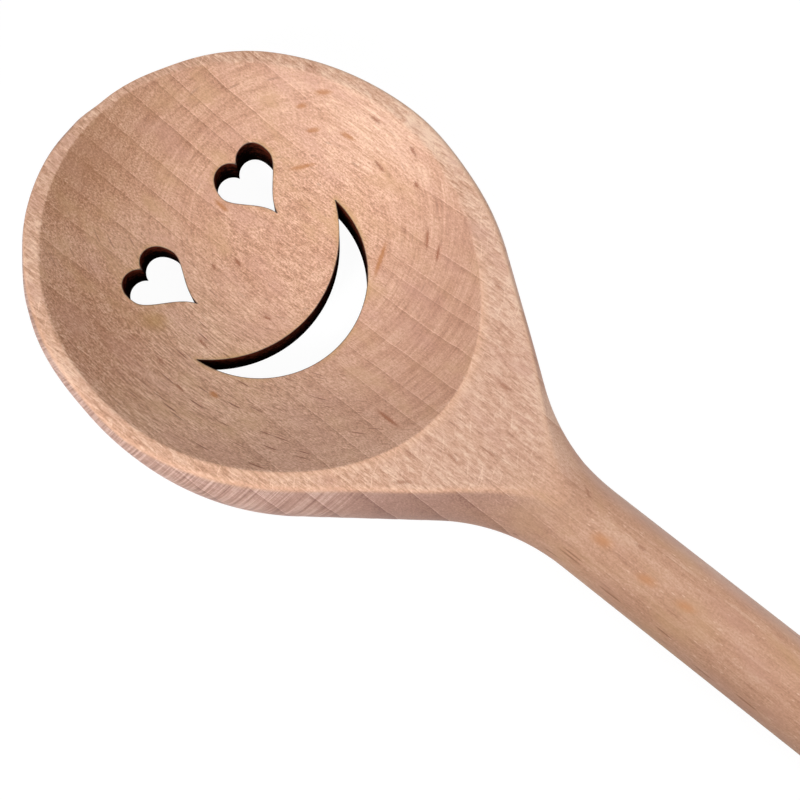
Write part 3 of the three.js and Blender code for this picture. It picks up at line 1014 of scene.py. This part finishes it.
# Tints over the wood: its own colours, painted shade on the walls and the handle, and painted light on the
# handle's left flank and on worn edges
for where, strength, over in (
    (straw, 1, STRAW), (rose, 1, ROSE), (dull_and_shaded, 0.5, TAN), (ashen, 1, ASH), (painted(tree, "dry"), 0.2, DRY),
    (heel, 0.25, greyed), (turned, 0.14, HONEY_AND_SHADE), (painted(tree, "left_flank_light"), 0.5, MAUVE_LIGHT),
    (grey_shaded_wall, 0.9, greyed), (painted(tree, "worn"), 1, shaded(tree, tone, CREAM)),
    (ochre, 0.75, OCHRE), (amber, 0.7, AMBER), (olive, 0.6, OLIVE), (brown, 0.8, RUST), (faint, 0.6, RUST),
    (dark_flecks, 0.75, BROWN), (toasted, 1, TOASTED), (sooty, 1, SOOT),
):
    colour = tint(tree, times(tree, where, strength), colour, over)
relief = total_of(
    tree, (fine_fibres, 0.02), (pores, 0.03), (cutter_bands, 0.03), (cutter_lines, 0.02),
    (torn_fibres, 0.04), (dark_flecks, -0.015), (mottle, 0.06), (pits, -0.015), (scratches, 0.006),
    (saw_strokes, 0.12), (saw_nicks, -0.01),
)
bump = node(tree, "ShaderNodeBump")
bump.inputs["Distance"].default_value = MM
feed(tree, bump.inputs["Height"], relief)
rough = calc(tree, "ADD", total_of(tree, (streaks, 0.3), (pores, 0.3)), ROUGHNESS)
skin = tree.nodes["Principled BSDF"]
feed(tree, skin.inputs["Base Color"], colour)
feed(tree, skin.inputs["Roughness"], rough)
feed(tree, skin.inputs["Normal"], bump.outputs[0])
mesh.materials.append(beech)

# Charred cuts: the laser left the walls of the hearts and the smile nearly black, with reddish brown
# patches where it moved fast.
CHAR = linear(14, 7, 6)
EMBER = linear(98, 42, 28)
EMBER_GLOW = (-0.32, 0.18)  # glows between which char turns reddish
CHAR_ROUGHNESS = 0.75
CHAR_GLOSS = 0

char = bpy.data.materials.new("charred_beech")
char.use_nodes = True
tree = char.node_tree
wood = node(tree, "ShaderNodeGroup", node_tree=fibres).outputs
glow = total_of(
    tree, (wood["Patches"], 0.6), (wood["Streaks"], 0.8), (wood["Pores"], 0.4),
    (painted(tree, "cut_depth"), -0.45),
)
rough = calc(tree, "ADD", total_of(tree, (wood["Pores"], 0.4)), CHAR_ROUGHNESS)
skin = tree.nodes["Principled BSDF"]
feed(tree, skin.inputs["Base Color"], tint(tree, remap(tree, glow, *EMBER_GLOW), CHAR, EMBER))
feed(tree, skin.inputs["Roughness"], rough)
skin.inputs["Specular IOR Level"].default_value = CHAR_GLOSS
mesh.materials.append(char)

# Floor and light: a plain white floor and an even white studio, with two softboxes that have grids over
# their fronts. One lights the bowl from low on its right, and the other lights the handle from above.
FLOOR_SIZE = 4
FLOOR_GLOW = 0.95  # white of the floor that no shadow takes away
FLOOR_PALE = (0.1, 0.1, 0.1, 1)  # and what the light adds to it
FLOOR_GREY = (0.4, 0.4, 0.4, 1)  # light that the floor throws back
STUDIO_LEVEL = 0.5
WHITE = (1, 1, 1, 1)
BOWL_LIGHT_RISE = math.radians(34)
BOWL_LIGHT = {"distance": 0.22, "width": 0.08, "height": 0.12, "spread": math.radians(30), "power": 0.0207}
HANDLE_LIGHT_X = 20
HANDLE_LIGHT = {"distance": 0.25, "width": 0.12, "height": 0.25, "spread": math.radians(70), "power": 0.058}


def seen(tree):
    """1 for the rays of the camera, of gloss and through glass."""
    path = node(tree, "ShaderNodeLightPath").outputs
    gloss = calc(tree, "MAXIMUM", path["Is Glossy Ray"], path["Is Transmission Ray"])
    return calc(tree, "MAXIMUM", path["Is Camera Ray"], gloss)


def softbox(name, target, way, distance, width, height, spread, power):
    lamp = bpy.data.objects.new(name, bpy.data.lights.new(name, "AREA"))
    lamp.data.shape = "RECTANGLE"
    lamp.data.size = width
    lamp.data.size_y = height
    lamp.data.spread = spread
    lamp.data.energy = power
    lamp.visible_camera = False
    lamp.location = target + way * distance
    lamp.rotation_euler = way.to_track_quat("Z", "Y").to_euler()
    bpy.context.collection.objects.link(lamp)


floor_mesh = bpy.data.meshes.new("floor")
half = FLOOR_SIZE / 2
corners = [(-half, -half, 0), (half, -half, 0), (half, half, 0), (-half, half, 0)]
floor_mesh.from_pydata(corners, [], [(0, 1, 2, 3)])
floor = bpy.data.objects.new("floor", floor_mesh)
bpy.context.collection.objects.link(floor)
paper = bpy.data.materials.new("white_paper")
paper.use_nodes = True
tree = paper.node_tree
tree.nodes.remove(tree.nodes["Principled BSDF"])
lit = node(tree, "ShaderNodeBsdfDiffuse", FLOOR_PALE).outputs[0]
bright = node(tree, "ShaderNodeEmission", WHITE, FLOOR_GLOW).outputs[0]
white = node(tree, "ShaderNodeAddShader", lit, bright).outputs[0]
grey = node(tree, "ShaderNodeBsdfDiffuse", FLOOR_GREY).outputs[0]
both = node(tree, "ShaderNodeMixShader", seen(tree), grey, white).outputs[0]
feed(tree, tree.nodes["Material Output"].inputs["Surface"], both)
floor_mesh.materials.append(paper)

world = bpy.data.worlds.new("studio")
world.use_nodes = True
tree = world.node_tree
backdrop = tree.nodes["Background"]
backdrop.inputs["Color"].default_value = WHITE
feed(tree, backdrop.inputs["Strength"], remap(tree, seen(tree), 0, 1, STUDIO_LEVEL, 1))
bpy.context.scene.world = world
bpy.context.scene.view_settings.view_transform = "Standard"

bowl = Vector((dish_x + low.x, 0, AXIS_HEIGHT)) * MM
from_right = Vector((0, -math.cos(BOWL_LIGHT_RISE), math.sin(BOWL_LIGHT_RISE)))
softbox("bowl_light", bowl, from_right, **BOWL_LIGHT)
handle = Vector((HANDLE_LIGHT_X, 0, AXIS_HEIGHT)) * MM
softbox("handle_light", handle, Vector((0, 0, 1)), **HANDLE_LIGHT)
